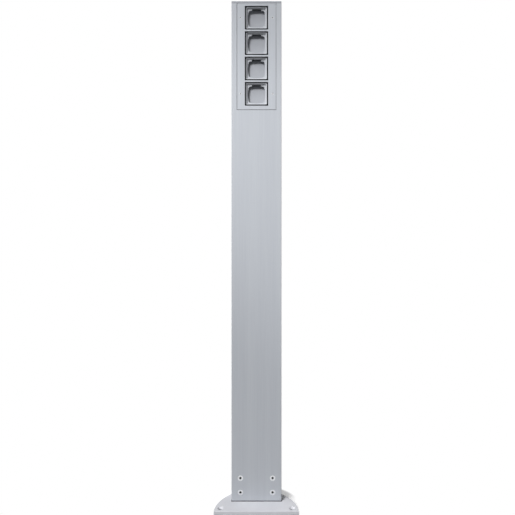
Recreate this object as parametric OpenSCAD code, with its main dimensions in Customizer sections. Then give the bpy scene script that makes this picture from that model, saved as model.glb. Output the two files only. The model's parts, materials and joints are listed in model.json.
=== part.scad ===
// Garden socket post: a free-standing aluminium pillar with a half-round base plate and four empty
// device units behind an inset service panel.
// X runs to the right, Y to the back and Z up. The origin is on the ground, under the middle of the
// base plate. Depths are measured from the column's front face towards the back.

/* [Post] */
// Height from the ground to the top of the cap
post_h = 1410; // [1100:10:1800]

/* [Base plate] */
// Thickness of the plate
plate_t = 10; // [8:0.5:16]
// From the plate's front edge back to the column's front face
plate_front = 49; // [44:1:50]
// Ledge of the plate that shows behind the column
rear_ledge = 4; // [2:0.5:6]
// Diameter of the anchor holes
anchor_d = 9; // [7:0.5:10]
// Diameter of their countersinks at the plate's top
anchor_sink_d = 17; // [13:0.5:18]
// Distance between the two front anchor holes
anchor_span = 195; // [180:1:200]
// From the front edge back to the front anchor holes
anchor_edge = 15; // [12:1:20]
// Diameter of the hole for the supply cable
cable_hole_d = 22; // [16:0.5:23]
// Bore of the grommet in that hole
cable_bore_d = 16; // [8:0.5:17]

/* [Column] */
// Width across the front
column_w = 140; // [137:1:150]
// Depth from the front face to the middle of the rounded back
column_d = 62; // [60:0.5:68]
// Thickness of the front wall, which holds the countersunk screws
front_wall = 4.5; // [4.2:0.1:5.5]
// Thickness of the side and back walls
wall = 3; // [2:0.25:3.5]
// Radius of the two front corners
front_r = 1.5; // [1:0.5:5]
// Radius of the two rear corners
rear_r = 6; // [3:0.5:10]
// Thickness of the two long ribs that carry the mounting frame
rib_t = 3; // [2.5:0.25:4]
// Distance between the tips of the two ribs
rib_gap = 94; // [90:1:96]
// Diameter of the screw channels for the cap
port_d = 5; // [4:0.25:6]
// Wall round a screw channel
port_wall = 2.1; // [1.8:0.1:2.5]
// Thickness of the rubber ring under the column
foot_gasket_t = 1.5; // [1:0.25:3]
// Thickness of the rubber ring under the cap
cap_gasket_t = 0.5; // [0.4:0.1:1.5]

/* [Foot] */
// Width of the bracket that the column is screwed to
bracket_w = 110; // [104:1:112]
// Height of the bracket above the plate
bracket_h = 92; // [80:1:140]
// Thickness of its upright
bracket_t = 9; // [8:0.25:9.25]
// Thickness of its foot
bracket_foot_t = 8; // [6:0.5:12]
// Depth of its foot behind the upright
bracket_foot_l = 25; // [23:0.5:27]
// Thickness of its two gussets
gusset_t = 4; // [3:0.5:5]
// Distance across between the foot screws
foot_span = 90; // [80:1:92]
// Height of the lower foot screws above the plate
foot_low = 25; // [22:1:35]
// Distance from the lower to the upper foot screws
foot_rise = 40; // [30:1:45]
// Thread of the foot screws
foot_screw_d = 8; // [6:0.5:8]
// Length of the foot screws over the head
foot_screw_l = 12; // [9:0.5:12.5]

/* [Cap] */
// Thickness of the cap
cap_t = 5; // [4:0.5:10]
// Depth of the lips under the cap
lip_h = 4; // [2:0.5:5]

/* [Service panel] */
// Width of the opening in the column's front
notch_w = 110; // [109:0.5:112]
// Seam round the panel
seam = 0.8; // [0.5:0.1:1.5]
// From the lowest unit's middle down to the panel's lower edge
panel_below = 44.3; // [42:0.1:70]
// Thickness of the panel
panel_t = 3; // [2.5:0.25:4]
// Distance between the panel screws, across
panel_screw_span = 90; // [89:0.5:92]
// Thread of the panel screws
panel_screw_d = 3; // [2.5:0.25:3.5]

/* [Units] */
// Distance from one unit's middle to the next
unit_pitch = 71; // [71:0.1:72]
// From the top of the cap down to the first unit's middle
first_unit = 46.5; // [46:0.5:48]
// Width of a window in the panel
window_w = 65.2; // [63:0.1:66]
// Height of a window in the panel
window_h = 66.3; // [64:0.1:67]
// Width of a bezel in its window
bezel_w = 58.2; // [56:0.1:60]
// Height of a bezel in its window
bezel_h = 59.3; // [57:0.1:61]
// Corner radius of a bezel
bezel_r = 3; // [1:0.25:5]
// How far a bezel's rim stands back from the panel's face
bezel_back = 0.5; // [0.2:0.1:1.5]
// Flat rim round a bezel's slope
bezel_rim = 0.7; // [0.4:0.1:1.5]
// Width between the feet of a bezel's side slopes
floor_w = 49; // [48.5:0.1:51]
// Height between the feet of its upper and lower slopes
floor_h = 52; // [51.5:0.1:54]
// Depth of a bezel's slopes
slope_h = 4.5; // [2:0.25:4.75]
// Width of the opening in a bezel
opening_w = 48.4; // [44:0.1:48.4]
// Distance from a unit's middle up to the opening's upper edge
opening_up = 23.7; // [22:0.1:25]
// Distance from a unit's middle down to the opening's lower edge
opening_down = 25.5; // [24:0.1:25.5]
// Width of the notch in the opening's upper edge
wire_notch_w = 24; // [16:0.5:26]
// Distance from a unit's middle up to the notch's edge
wire_notch_up = 25.8; // [25.2:0.1:25.8]
// Thickness of the rubber seal behind a window
seal_t = 2.5; // [1.5:0.25:3]
// Thickness of a bezel's flange
bezel_flange_t = 2; // [1.5:0.25:3]
// Thickness of a device box's flange
box_flange_t = 3.5; // [3:0.25:4]
// Outer diameter of a device box
box_d = 62.4; // [61.5:0.1:63]
// Wall of a device box
box_wall = 2; // [1.5:0.1:2.2]
// Depth of a device box behind its flange
box_h = 34.5; // [28:0.5:36]
// Depth of the blanking disc's face behind the panel's face
disc_depth = 13; // [12.5:0.25:16]
// Thickness of the blanking disc
disc_t = 2; // [1.5:0.25:3]
// Diameter of the cable hole in a device box's back
box_hole_d = 20; // [14:0.5:24]

/* [Wiring] */
// Thickness of the mounting frame
frame_t = 3; // [2.5:0.25:3.5]
// Length of the mounting frame below the panel's opening
frame_tail = 92; // [90:1:140]
// From the opening's lower edge down to the terminal rail
rail_drop = 45; // [36:1:50]
// Length of the terminal rail
rail_l = 76; // [74:1:84]
// Pitch of the terminals
terminal_w = 8; // [6:0.25:8.25]
// Height of a terminal
terminal_h = 34; // [30:1:38]
// Thread of the earth bolt
earth_d = 6; // [5:0.5:6]

/* [Hidden] */
$fn = 96;
units = 4;
aluminium = [0.74, 0.76, 0.78];
plate_grey = [0.79, 0.79, 0.81];
steel = [0.80, 0.81, 0.83];
rubber = [0.13, 0.13, 0.14];
box_grey = [0.62, 0.63, 0.66];
sheet_grey = [0.66, 0.67, 0.69];
earth_green = [0.35, 0.55, 0.20];

// Clearances
thread_gap = 0.05;
slip_gap = 0.1;
fit_gap = 0.3;
drop_gap = 0.5;
flush_gap = 0.1;
side_gap = 1;
unit_gap = 0.6;

// How far a cut reaches past a face, and how far joined shapes reach into each other
past = 1;

// Planes and outline of the column
plate_r = plate_front + column_d + rear_ledge;
disc_y = -plate_r / 2;
front_y = disc_y + plate_front;
back_r = plate_front + column_d;
half_w = column_w / 2;
inner_x = half_w - wall;
inner_r = back_r - wall;
inner_front_y = front_y + front_wall;
corner_x = half_w - rear_r;
corner_y = disc_y + sqrt(pow(back_r - rear_r, 2) - pow(corner_x, 2));
column_z = plate_t + foot_gasket_t;
cap_z = post_h - cap_t;
column_top = cap_z - cap_gasket_t;
column_l = column_top - column_z;

// Depths of the stack behind the panel
seal_depth = panel_t;
bezel_flange_depth = seal_depth + seal_t;
box_depth = bezel_flange_depth + bezel_flange_t;
frame_depth = box_depth + box_flange_t;
rib_depth = frame_depth + frame_t;
rib_y = front_y + rib_depth;
box_back = frame_depth + box_h;

// The panel's opening and the panel in it
panel_w = notch_w - 2 * seam;
panel_top = cap_z - seam;
panel_z = unit_z(units) - panel_below;
panel_h = panel_top - panel_z;
notch_z = panel_z - seam;

// Screw channels for the cap
port_r = port_d / 2 + port_wall;
front_port = [inner_x - port_r, (inner_front_y + rib_y) / 2];
rear_steps = 6;
rear_port_x = 45;
port_sink = 1.2;
rear_port_r = inner_r - port_r + port_sink;
rear_port = [rear_port_x, disc_y + sqrt(rear_port_r * rear_port_r - rear_port_x * rear_port_x)];
cap_screw_head_r = port_d;
cap_screw_l = 20;
cap_key_d = 3.3;
cap_key_h = 2;
lip_t = 2;
side_lip_w = 12;

// Foot
upright_back_y = inner_front_y + bracket_t;
grommet_rim = 2;
grommet_flange_t = 2;
grommet_flange_r = cable_hole_d / 2 + grommet_rim;
cable_y = upright_back_y + drop_gap + grommet_flange_r;
rear_anchor_y = cable_y + grommet_flange_r + side_gap + anchor_sink_d / 2;
foot_slot_w = 2 * (grommet_flange_r + side_gap);
lug_w = rib_gap - 2 * side_gap;
bracket_screw_d = 6;
bracket_screw_l = 14;
bracket_screws_at = [[38, 7], [24, 19]];
gusset_x = 31;
gusset_edge = 2;
gusset_drop = 10;
gusset_h = bracket_h - bracket_foot_t - gusset_drop;
foot_head_r = foot_screw_d;
foot_key_d = 5.8;
foot_key_h = 3;

// Service panel
panel_head_r = panel_screw_d;
panel_key_d = 2.6;
panel_key_h = 1.2;
panel_screw_grip = 6;
window_r = 1;
seal_lap = 2.2;
seal_r = 2;
standoff_r = 4;
spigot_r = 2.75;
bezel_screw_d = 2.5;
bezel_screw_head_r = 2.2;
bezel_screw_head_h = 1.5;
bezel_screw_stop = 1;
bezel_screw_at = [37.2, 20];
bezel_flange_w = 79.6;
unit_frame_h = unit_pitch - unit_gap;
floor_r = 1;

// Boxes
box_r = box_d / 2;
box_bore_r = box_r - box_wall;
box_flange_w = 68;
box_flange_r = 3;
box_screw_d = 3;
box_screw_l = 8;
box_screw_at = [29.5, 30.5];
ledge_w = 2.2;
grommet_lip = 1.5;
grommet_bore_d = 8;
side_arc_r = 80;

// Mounting frame
rib_lap = 7;
frame_w = rib_gap + 2 * rib_lap;
frame_drop = 3;
frame_top = column_top - frame_drop;
frame_z = notch_z - frame_tail;
frame_screw_d = 4;
frame_screw_head_r = 3.2;
frame_screw_x = (rib_gap + rib_lap) / 2;
frame_screw_tip = 3;
frame_screw_l = frame_t + rib_t + frame_screw_tip;
frame_screw_low = 11;
frame_screws_at = [unit_z(1) - unit_pitch / 2, unit_z(units) + unit_pitch / 2, notch_z + frame_screw_low];

// Terminals on their rail
rail_z = notch_z - rail_drop;
rail_h = 5.5;
rail_foot_w = 10.5;
rail_brim_w = 15;
rail_sheet = 1;
rail_screw_edge = 6;
rail_screw_x = rail_l / 2 - rail_screw_edge;
rail_screw_d = 4;
rail_screw_head_r = 3.5;
rail_screw_head_h = 2.4;
terminals = 5;
stop_w = 6;
stop_h = 24;
stop_d = 14;
terminal_foot = 3.2;
terminal_step = [16, 22, 28.5];
terminal_neck_h = 0.7 * terminal_h;
terminal_screw_l = 5;
well_d = 4.2;
well_z = 10.5;
well_floor = 14;
wire_d = 4.4;
wire_depth = 11;
wire_l = 6;
earth_edge = 16;
earth_z = frame_z + earth_edge;
earth_across = 1.7 * earth_d;
earth_head_h = 4;
earth_bolt_l = 19;
washer_t = 1.5;
nut_t = 5;

function unit_z(k) = post_h - first_unit - (k - 1) * unit_pitch;

// Helpers

// Extrudes a drawing of the front view, from a depth towards the back
module slab(depth, t) {
    translate([0, front_y + depth + t, 0]) rotate([90, 0, 0]) linear_extrude(t) children();
}

// A cone or cylinder that points to the back, from a depth
module pin_back(x, z, depth, h, r1, r2) {
    translate([x, front_y + depth, z]) rotate([-90, 0, 0]) cylinder(h = h, r1 = r1, r2 = r2);
}

module rounded(w, h, r) {
    square([w - 2 * r, h], center = true);
    square([w, h - 2 * r], center = true);
    for (x = [-1, 1], y = [-1, 1]) translate([x * (w / 2 - r), y * (h / 2 - r)]) circle(r);
}

module both_sides() {
    children();
    mirror([1, 0, 0]) children();
}

// Points along the round of a rear corner, from the side wall to the back
function rear_corner(i) = let (turn = atan2(corner_y - disc_y, corner_x) * i / rear_steps)
    [corner_x + rear_r * cos(turn), corner_y + rear_r * sin(turn)];

// What the round of a rear corner takes away
module rear_corner_cut() {
    past_side = 1.5 * rear_corner(0) - 0.5 * rear_corner(1);
    past_back = 1.5 * rear_corner(rear_steps) - 0.5 * rear_corner(rear_steps - 1);
    polygon(concat(
        [past_side], [for (i = [1 : rear_steps - 1]) rear_corner(i)], [past_back],
        [[half_w + rear_r, corner_y + 2 * rear_r], [half_w + rear_r, corner_y]]
    ));
}

// The column's outline: flat front, flat sides and a back concentric with the base plate
module column_outline() {
    difference() {
        intersection() {
            translate([0, disc_y]) circle(back_r, $fn = 180);
            both_sides() {
                translate([-past, front_y]) square([half_w - front_r + past, plate_r]);
                translate([-past, front_y + front_r]) square([half_w + past, plate_r]);
                translate([half_w - front_r, front_y + front_r]) circle(front_r);
            }
        }
        both_sides() rear_corner_cut();
    }
}

// The hollow inside the column, larger all round by a given amount
module column_bore(more = 0) {
    intersection() {
        translate([0, disc_y]) circle(inner_r + more, $fn = 180);
        translate([-inner_x - more, inner_front_y - more])
            square([2 * (inner_x + more), 2 * plate_r]);
    }
}

module column_ports(r) {
    both_sides() {
        translate(front_port) circle(r);
        translate(rear_port) circle(r);
    }
}

module column_section() {
    difference() {
        union() {
            difference() {
                column_outline();
                column_bore();
            }
            both_sides() {
                translate([rib_gap / 2, rib_y]) square([inner_x + past - rib_gap / 2, rib_t]);
                translate([inner_x - 2 * port_r, inner_front_y - past])
                    square([2 * port_r + past, rib_y - inner_front_y + 2 * past]);
                translate(rear_port) circle(port_r);
            }
        }
        column_ports(port_d / 2);
    }
}

// A flat ring under or over the column's walls
module wall_ring(inset) {
    difference() {
        intersection() {
            translate([0, disc_y]) circle(back_r - inset, $fn = 180);
            translate([-half_w + inset, front_y + inset]) square([column_w - 2 * inset, 2 * plate_r]);
        }
        column_bore(inset);
    }
}

// A countersunk screw that points to the back, with its head at a depth
module sunk_screw(x, z, depth, d, head_r, l) {
    pin_back(x, z, depth, head_r - d / 2, head_r, d / 2);
    pin_back(x, z, depth, l, d / 2, d / 2);
}

module sunk_hole(x, z, d, head_r, l) {
    sunk_screw(x, z, 0, d + 2 * slip_gap, head_r + slip_gap, l);
}

// A pan head screw that points to the back, with the underside of its head at a depth
module pan_screw(x, z, depth, d, head_r, l) {
    head_h = 0.6 * d;
    pin_back(x, z, depth - head_h, head_h, head_r, head_r);
    pin_back(x, z, depth - flush_gap, l, d / 2, d / 2);
}

// Foot

module base_plate() {
    sink_h = (anchor_sink_d - anchor_d) / 2;
    color(plate_grey) difference() {
        intersection() {
            translate([0, disc_y, 0]) cylinder(h = plate_t, r = plate_r, $fn = 180);
            translate([-plate_r - past, disc_y, -past])
                cube([2 * (plate_r + past), plate_r + past, plate_t + 2 * past]);
        }
        for (p = anchors()) translate([p[0], p[1], 0]) {
            translate([0, 0, -past]) cylinder(h = plate_t + 2 * past, r = anchor_d / 2);
            translate([0, 0, plate_t - sink_h])
                cylinder(h = sink_h, r1 = anchor_d / 2, r2 = anchor_sink_d / 2);
        }
        translate([0, cable_y, -past]) cylinder(h = plate_t + 2 * past, r = cable_hole_d / 2);
        bracket_screw_group(slip_gap);
    }
}

function anchors() = [
    [-anchor_span / 2, disc_y + anchor_edge],
    [anchor_span / 2, disc_y + anchor_edge],
    [0, rear_anchor_y]
];

module cable_grommet() {
    color(rubber) translate([0, cable_y, 0]) difference() {
        union() {
            translate([0, 0, flush_gap]) cylinder(h = plate_t, r = cable_hole_d / 2 - slip_gap);
            translate([0, 0, plate_t]) cylinder(h = grommet_flange_t, r = grommet_flange_r);
        }
        translate([0, 0, -past]) cylinder(h = plate_t + grommet_flange_t + 2 * past, r = cable_bore_d / 2);
    }
}

// Screws from under the plate into the bracket's foot
module bracket_screw_group(gap) {
    sink = bracket_screw_d / 2;
    both_sides() for (p = bracket_screws_at) translate([p[0], upright_back_y + p[1], 0]) {
        translate([0, 0, flush_gap - gap]) cylinder(h = sink, r1 = 2 * sink + gap, r2 = sink + gap);
        translate([0, 0, flush_gap - gap]) cylinder(h = bracket_screw_l + gap, r = sink + gap);
    }
}

module bracket_screws() {
    color(steel) bracket_screw_group(0);
}

module foot_bracket() {
    foot_top = plate_t + bracket_foot_t;
    color(sheet_grey) difference() {
        union() {
            translate([-bracket_w / 2, inner_front_y, plate_t]) cube([bracket_w, bracket_t, bracket_h]);
            translate([-lug_w / 2, upright_back_y - past, plate_t])
                cube([lug_w, bracket_foot_l + past, bracket_foot_t]);
            both_sides() translate([gusset_x - gusset_t / 2, upright_back_y, foot_top])
                rotate([90, 0, 90]) linear_extrude(gusset_t) gusset_side();
        }
        translate([-foot_slot_w / 2, upright_back_y, plate_t - past])
            cube([foot_slot_w, bracket_foot_l + past, bracket_foot_t + 2 * past]);
        both_sides() for (p = bracket_screws_at) translate([p[0], upright_back_y + p[1], plate_t - past])
            cylinder(h = bracket_foot_t + 2 * past, r = bracket_screw_d / 2 + thread_gap);
        for (p = foot_points())
            pin_back(p[0], p[1], front_wall - past, bracket_t + 2 * past, foot_screw_d / 2 + thread_gap,
                     foot_screw_d / 2 + thread_gap);
    }
}

// A gusset seen from the side, with its corner where the upright meets the foot
module gusset_side() {
    foot_end = bracket_foot_l - gusset_edge;
    polygon([[-past, -past], [foot_end, -past], [foot_end, gusset_edge], [gusset_edge, gusset_h],
             [-past, gusset_h]]);
}

function foot_points() = [
    for (x = [-1, 1], z = [foot_low, foot_low + foot_rise]) [x * foot_span / 2, plate_t + z]
];

module foot_gasket() {
    color(rubber) translate([0, 0, plate_t]) linear_extrude(foot_gasket_t) difference() {
        wall_ring(drop_gap);
        column_ports(port_d / 2);
    }
}

module foot_screws() {
    color(steel) for (p = foot_points()) difference() {
        sunk_screw(p[0], p[1], flush_gap, foot_screw_d, foot_head_r, foot_screw_l);
        pin_back(p[0], p[1], -past, foot_key_h + past, foot_key_d / 2, foot_key_d / 2, $fn = 6);
    }
}

// Column and cap

module column_profile() {
    color(aluminium) difference() {
        translate([0, 0, column_z]) linear_extrude(column_l) column_section();
        translate([-notch_w / 2, front_y - past, notch_z])
            cube([notch_w, front_wall + past + drop_gap, post_h - notch_z]);
        for (p = foot_points()) sunk_hole(p[0], p[1], foot_screw_d, foot_head_r, front_wall + past);
        both_sides() for (z = frame_screws_at)
            pin_back(frame_screw_x, z, rib_depth - past, rib_t + 2 * past, frame_screw_d / 2 + thread_gap,
                     frame_screw_d / 2 + thread_gap);
    }
}

module cap_gasket() {
    color(rubber) translate([0, 0, column_top]) linear_extrude(cap_gasket_t) difference() {
        wall_ring(drop_gap);
        translate([-notch_w / 2, front_y - past]) square([notch_w, front_wall + 2 * past]);
    }
}

module cap_screw_group(gap) {
    shank_r = port_d / 2 - thread_gap;
    sink = cap_screw_head_r - shank_r;
    top = post_h - flush_gap;
    both_sides() for (p = [front_port, rear_port]) translate([p[0], p[1], 0]) {
        translate([0, 0, top - sink])
            cylinder(h = sink + gap, r1 = shank_r + gap, r2 = cap_screw_head_r + 2 * gap);
        translate([0, 0, top - cap_screw_l]) cylinder(h = cap_screw_l, r = shank_r + gap);
    }
}

module cap_screws() {
    color(steel) difference() {
        cap_screw_group(0);
        both_sides() for (p = [front_port, rear_port]) translate([p[0], p[1], post_h - cap_key_h])
            cylinder(h = cap_key_h + past, r = cap_key_d / 2, $fn = 6);
    }
}

module top_cap() {
    back_lip_w = 2 * (rear_port_x - port_r - side_gap);
    color(aluminium) difference() {
        union() {
            translate([0, 0, cap_z]) linear_extrude(cap_t) column_outline();
            translate([0, 0, cap_z - lip_h]) linear_extrude(lip_h + past) {
                // Back lip between the rear screw channels
                intersection() {
                    difference() {
                        translate([0, disc_y]) circle(inner_r - fit_gap, $fn = 180);
                        translate([0, disc_y]) circle(inner_r - fit_gap - lip_t, $fn = 180);
                    }
                    translate([-back_lip_w / 2, 0]) square([back_lip_w, 2 * plate_r]);
                }
                // Side lips behind the ribs
                both_sides() translate([inner_x - fit_gap - lip_t, rib_y + rib_t + 2 * side_gap])
                    square([lip_t, side_lip_w]);
                // Front lip behind the panel's upper edge
                translate([-frame_w / 2, front_y + panel_t + drop_gap]) square([frame_w, lip_t]);
            }
        }
        cap_screw_group(slip_gap);
    }
}

// Service panel and what is screwed to it

module front_panel() {
    color(aluminium) difference() {
        slab(0, panel_t) translate([-panel_w / 2, panel_z]) square([panel_w, panel_h]);
        for (k = [1 : units]) {
            translate([0, 0, unit_z(k)]) slab(-past, panel_t + 2 * past)
                rounded(window_w, window_h, window_r);
            for (p = bezel_screw_points(k))
                pin_back(p[0], p[1], bezel_screw_stop, panel_t, bezel_screw_d / 2 + thread_gap,
                         bezel_screw_d / 2 + thread_gap);
        }
        for (p = panel_points()) sunk_hole(p[0], p[1], panel_screw_d, panel_head_r, panel_t + past);
    }
}

function panel_points() = [
    for (x = [-1, 1], z = [unit_z(1), unit_z(units)]) [x * panel_screw_span / 2, z]
];

function bezel_screw_points(k) = [
    for (s = [-1, 1]) [s * bezel_screw_at[0], unit_z(k) - s * bezel_screw_at[1]]
];

module panel_screws() {
    color(steel) for (p = panel_points()) difference() {
        sunk_screw(p[0], p[1], flush_gap, panel_screw_d, panel_head_r, panel_t + panel_screw_grip);
        pin_back(p[0], p[1], -past, panel_key_h + past, panel_key_d / 2, panel_key_d / 2, $fn = 6);
    }
}

module panel_standoffs() {
    color(steel) for (p = panel_points()) difference() {
        union() {
            pin_back(p[0], p[1], panel_t, frame_depth - panel_t, standoff_r, standoff_r);
            pin_back(p[0], p[1], frame_depth - past, frame_t + past, spigot_r, spigot_r);
        }
        pin_back(p[0], p[1], panel_t - past, frame_depth + frame_t, panel_screw_d / 2 + slip_gap,
                 panel_screw_d / 2 + slip_gap);
    }
}

module window_seal(k) {
    color(rubber) translate([0, 0, unit_z(k)]) slab(seal_depth, seal_t) difference() {
        rounded(window_w + 2 * seal_lap, unit_frame_h, seal_r);
        rounded(bezel_w + 2 * fit_gap, bezel_h + 2 * fit_gap, bezel_r);
    }
}

// The opening in a bezel: a circle cut by four flat arcs, with a notch at the top
module bezel_opening() {
    intersection() {
        circle(box_bore_r);
        translate([side_arc_r - opening_w / 2, 0]) circle(side_arc_r);
        translate([opening_w / 2 - side_arc_r, 0]) circle(side_arc_r);
        translate([0, opening_up - side_arc_r]) circle(side_arc_r);
        translate([0, side_arc_r - opening_down]) circle(side_arc_r);
    }
    wire_notch();
}

module wire_notch() {
    translate([-wire_notch_w / 2, 0]) square([wire_notch_w, wire_notch_up]);
}

module bezel(k) {
    floor_depth = bezel_back + slope_h;
    color(aluminium) difference() {
        translate([0, 0, unit_z(k)]) difference() {
            union() {
                slab(bezel_back, box_depth - bezel_back) rounded(bezel_w, bezel_h, bezel_r);
                slab(bezel_flange_depth, bezel_flange_t) rounded(bezel_flange_w, unit_frame_h, bezel_r);
            }
            hull() {
                slab(bezel_back - 2 * flush_gap, 2 * flush_gap)
                    rounded(bezel_w - 2 * bezel_rim, bezel_h - 2 * bezel_rim, bezel_r - bezel_rim, $fn = 32);
                slab(floor_depth - flush_gap, flush_gap) rounded(floor_w, floor_h, floor_r, $fn = 32);
            }
            slab(floor_depth - past, box_depth) bezel_opening();
        }
        for (p = bezel_screw_points(k))
            pin_back(p[0], p[1], bezel_flange_depth - past, bezel_flange_t + 2 * past,
                     bezel_screw_d / 2 + slip_gap, bezel_screw_d / 2 + slip_gap);
    }
}

// Pan head screws that point to the front, from behind the bezels' flanges into the panel
module bezel_screws() {
    color(steel) for (k = [1 : units], p = bezel_screw_points(k)) {
        pin_back(p[0], p[1], box_depth, bezel_screw_head_h, bezel_screw_head_r, bezel_screw_head_r);
        pin_back(p[0], p[1], bezel_screw_stop + flush_gap, box_depth - bezel_screw_stop, bezel_screw_d / 2,
                 bezel_screw_d / 2);
    }
}

// Mounting frame and device boxes

module mounting_frame() {
    color(sheet_grey) difference() {
        slab(frame_depth, frame_t) translate([-frame_w / 2, frame_z]) square([frame_w, frame_top - frame_z]);
        for (k = [1 : units]) {
            frame_hole(0, unit_z(k), box_r + fit_gap);
            for (p = box_screw_points(k)) frame_hole(p[0], p[1], box_screw_d / 2 + thread_gap);
        }
        for (p = panel_points()) frame_hole(p[0], p[1], spigot_r + thread_gap);
        both_sides() {
            for (z = frame_screws_at) frame_hole(frame_screw_x, z, frame_screw_d / 2 + slip_gap);
            frame_hole(rail_screw_x, rail_z, rail_screw_d / 2 + thread_gap);
        }
        frame_hole(0, earth_z, earth_d / 2 + slip_gap);
    }
}

module frame_hole(x, z, r) {
    pin_back(x, z, frame_depth - past, frame_t + 2 * past, r, r);
}

function box_screw_points(k) = [
    for (s = [-1, 1]) [s * box_screw_at[0], unit_z(k) - s * box_screw_at[1]]
];

module frame_screws() {
    color(steel) both_sides() for (z = frame_screws_at)
        pan_screw(frame_screw_x, z, frame_depth, frame_screw_d, frame_screw_head_r, frame_screw_l);
}

module device_box(k) {
    ledge_depth = disc_depth + disc_t;
    color(box_grey) difference() {
        translate([0, 0, unit_z(k)]) difference() {
            union() {
                slab(box_depth, box_flange_t) rounded(box_flange_w, unit_frame_h, box_flange_r);
                slab(frame_depth - past, box_h + past) circle(box_r);
            }
            slab(box_depth - past, ledge_depth - box_depth + past) circle(box_bore_r);
            slab(ledge_depth - past, past + ledge_w) circle(box_bore_r - ledge_w);
            slab(ledge_depth + ledge_w, box_back - box_wall - ledge_depth - ledge_w) circle(box_bore_r);
            slab(box_depth - past, box_flange_t + past) wire_notch();
            slab(box_back - box_wall - past, box_wall + 2 * past) circle(box_hole_d / 2);
        }
        for (p = box_screw_points(k)) translate([0, box_depth, 0])
            sunk_hole(p[0], p[1], box_screw_d, box_screw_d, box_flange_t + past);
    }
}

module blanking_disc(k) {
    color(box_grey) translate([0, 0, unit_z(k)]) slab(disc_depth, disc_t) circle(box_bore_r - slip_gap);
}

module box_screws() {
    color(steel) for (k = [1 : units], p = box_screw_points(k))
        sunk_screw(p[0], p[1], box_depth + flush_gap, box_screw_d, box_screw_d, box_screw_l);
}

module box_grommet(k) {
    neck_r = box_hole_d / 2 - slip_gap;
    rim_r = box_hole_d / 2 + grommet_rim;
    inner = box_back - box_wall;
    color(rubber) translate([0, 0, unit_z(k)]) difference() {
        union() {
            slab(inner - grommet_lip, grommet_lip) circle(rim_r);
            slab(inner - past, box_wall + 2 * past) circle(neck_r);
            slab(box_back, grommet_lip) circle(rim_r);
        }
        slab(inner - grommet_lip - past, box_wall + 2 * (grommet_lip + past)) circle(grommet_bore_d / 2);
    }
}

// Terminals and earthing

// Draws in the side view, with the first axis as depth behind the frame and the second one up,
// and extrudes to the right from x
module side_slab(x, w, z) {
    translate([x, front_y + rib_depth, z]) rotate([90, 0, 90]) linear_extrude(w) children();
}

module terminal_rail() {
    f = rail_foot_w / 2;
    b = rail_brim_w / 2;
    s = rail_sheet;
    color(steel) difference() {
        side_slab(-rail_l / 2, rail_l, rail_z) union() {
            translate([0, -f]) square([s, 2 * f]);
            for (side = [-1, 1]) {
                translate([0, side * (f - s / 2) - s / 2]) square([rail_h, s]);
                translate([rail_h - s, side * (f + b - s) / 2 - (b - f + s) / 2]) square([s, b - f + s]);
            }
        }
        both_sides() pin_back(rail_screw_x, rail_z, rib_depth - past, rail_sheet + 2 * past,
                              rail_screw_d / 2 + slip_gap, rail_screw_d / 2 + slip_gap);
    }
}

// Screws that point to the front, through the rail into the mounting frame
module rail_screws() {
    color(steel) both_sides() {
        pin_back(rail_screw_x, rail_z, rib_depth + rail_sheet, rail_screw_head_h, rail_screw_head_r,
                 rail_screw_head_r);
        pin_back(rail_screw_x, rail_z, frame_depth + drop_gap, frame_t + rail_sheet, rail_screw_d / 2,
                 rail_screw_d / 2);
    }
}

// Cut in a terminal's foot that hooks over the rail's brim
module rail_cut() {
    gap = 0.2;
    half_brim = rail_brim_w / 2 + gap;
    translate([rail_h - rail_sheet - gap, -half_brim]) square([rail_sheet + 2 * gap, 2 * half_brim]);
    translate([-past, -rail_foot_w / 2 - 3 * gap]) square([rail_h, rail_foot_w + 6 * gap]);
}

module terminal_body(x, w) {
    z1 = terminal_h / 2;
    z2 = terminal_neck_h / 2;
    well_h = terminal_step[2] - well_floor + past;
    difference() {
        side_slab(x, w, rail_z) difference() {
            polygon([[terminal_foot, -z1], [terminal_step[0], -z1], [terminal_step[1], -z2],
                     [terminal_step[2], -z2], [terminal_step[2], z2], [terminal_step[1], z2],
                     [terminal_step[0], z1], [terminal_foot, z1]]);
            rail_cut();
        }
        for (s = [-1, 1]) {
            pin_back(x + w / 2, rail_z + s * well_z, rib_depth + well_floor, well_h, well_d / 2, well_d / 2);
            translate([x + w / 2, front_y + rib_depth + wire_depth, rail_z + s * (z1 - wire_l)])
                rotate([s > 0 ? 0 : 180, 0, 0]) cylinder(h = wire_l + past, r = wire_d / 2);
        }
    }
}

function terminal_x(i) = (i - terminals / 2) * terminal_w + slip_gap;

module line_terminals() {
    color(box_grey) for (i = [0 : terminals - 2]) terminal_body(terminal_x(i), terminal_w - 2 * slip_gap);
}

module earth_terminal() {
    color(earth_green) terminal_body(terminal_x(terminals - 1), terminal_w - 2 * slip_gap);
}

module end_stops() {
    x = terminals * terminal_w / 2 + slip_gap;
    color(box_grey) both_sides() side_slab(x, stop_w, rail_z) difference() {
        translate([terminal_foot, -stop_h / 2]) square([stop_d, stop_h]);
        rail_cut();
    }
}

module terminal_screws() {
    color(steel) for (i = [0 : terminals - 1], s = [-1, 1])
        pin_back(terminal_x(i) + terminal_w / 2 - slip_gap, rail_z + s * well_z, rib_depth + well_floor,
                 terminal_screw_l, well_d / 2 - slip_gap, well_d / 2 - slip_gap);
}

module hexagon(across) {
    circle(across / sqrt(3), $fn = 6);
}

module earth_bolt() {
    color(steel) translate([0, 0, earth_z]) {
        slab(frame_depth - earth_head_h, earth_head_h) hexagon(earth_across);
        slab(frame_depth - past, earth_bolt_l) circle(earth_d / 2);
    }
}

module earth_washers() {
    color(steel) translate([0, 0, earth_z]) for (i = [0, 1])
        slab(rib_depth + i * (washer_t + nut_t), washer_t) difference() {
            circle(earth_d);
            circle(earth_d / 2 + slip_gap);
        }
}

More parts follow.
